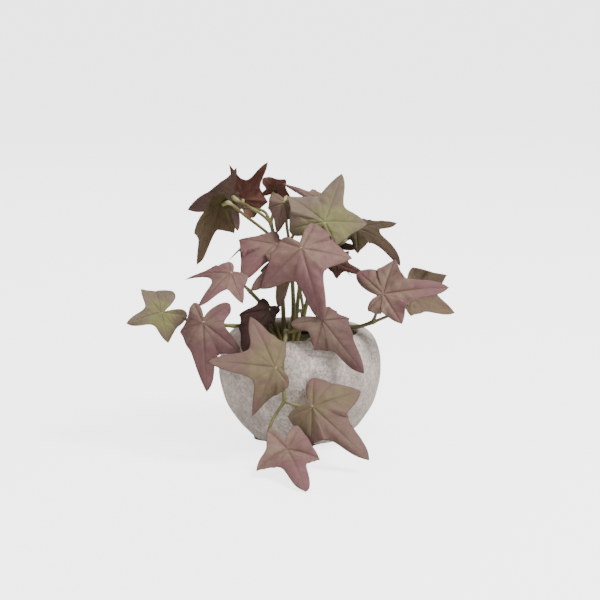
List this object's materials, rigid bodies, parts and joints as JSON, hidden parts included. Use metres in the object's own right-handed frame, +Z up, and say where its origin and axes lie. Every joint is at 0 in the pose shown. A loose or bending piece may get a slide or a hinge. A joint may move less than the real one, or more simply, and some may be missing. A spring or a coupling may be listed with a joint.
{
  "type": "potted ivy",
  "caption": "Trailing ivy with five-lobed leaves on branching stalks, standing in a round stone-look pot with a dark foot pad",
  "frame": {"origin": "middle of the foot pad's flat underside, on the pot's axis", "axes": "+Z up along the pot's axis; -Y towards the plant's front, where the stalk trails over the rim; +X to the right seen from the front"},
  "size_m": [0.2433, 0.2353, 0.2101],
  "materials": {
    "pot": "chalky mottled cement, fine pits",
    "foot": "dark matt pad",
    "filler": "dark crumbly planting filler",
    "stalk": "olive green stalk, satin",
    "leaf_rosy": "dusty mauve leaf with pressed veins",
    "leaf_tan": "tan to mauve leaf with pressed veins",
    "leaf_green": "grey-green leaf with pressed veins",
    "leaf_dark": "dark maroon leaf with pressed veins",
    "leaf_olive": "dark olive leaf with pressed veins"
  },
  "bodies": {
    "root": {"pot": "pot", "foot_pad": "foot", "planting_filler": "filler", "stalk_crest": "stalk", "stalk_crown": "stalk", "stalk_heart": "stalk", "stalk_left": "stalk", "stalk_rim_left": "stalk", "stalk_trailing": "stalk", "stalk_right": "stalk", "stalk_back": "stalk", "stalk_back_trailing": "stalk", "leaf_crest_left": "leaf_olive", "leaf_crest_under": "leaf_rosy", "leaf_crest_top": "leaf_dark", "leaf_crown_dark": "leaf_dark", "leaf_crown_green": "leaf_green", "leaf_crown_inner": "leaf_tan", "leaf_crown_back": "leaf_rosy", "leaf_right_high": "leaf_olive", "leaf_right_low": "leaf_dark", "leaf_heart": "leaf_rosy", "leaf_shoulder": "leaf_rosy", "leaf_shoulder_strip": "leaf_tan", "leaf_inner_tan": "leaf_tan", "leaf_left_rose": "leaf_rosy", "leaf_far_left": "leaf_green", "leaf_left_low": "leaf_rosy", "leaf_rim_dark": "leaf_dark", "leaf_front_tan": "leaf_tan", "leaf_front_right": "leaf_tan", "leaf_floor_leaf": "leaf_rosy", "leaf_rim_right": "leaf_rosy", "leaf_far_right": "leaf_rosy", "leaf_far_right_under": "leaf_tan", "leaf_inner_maroon": "leaf_dark", "leaf_back_crown": "leaf_tan", "leaf_back_shoulder": "leaf_rosy", "leaf_back_heart": "leaf_rosy", "leaf_back_drape_left": "leaf_tan", "leaf_back_drape_right": "leaf_rosy"}
  },
  "joints": []
}
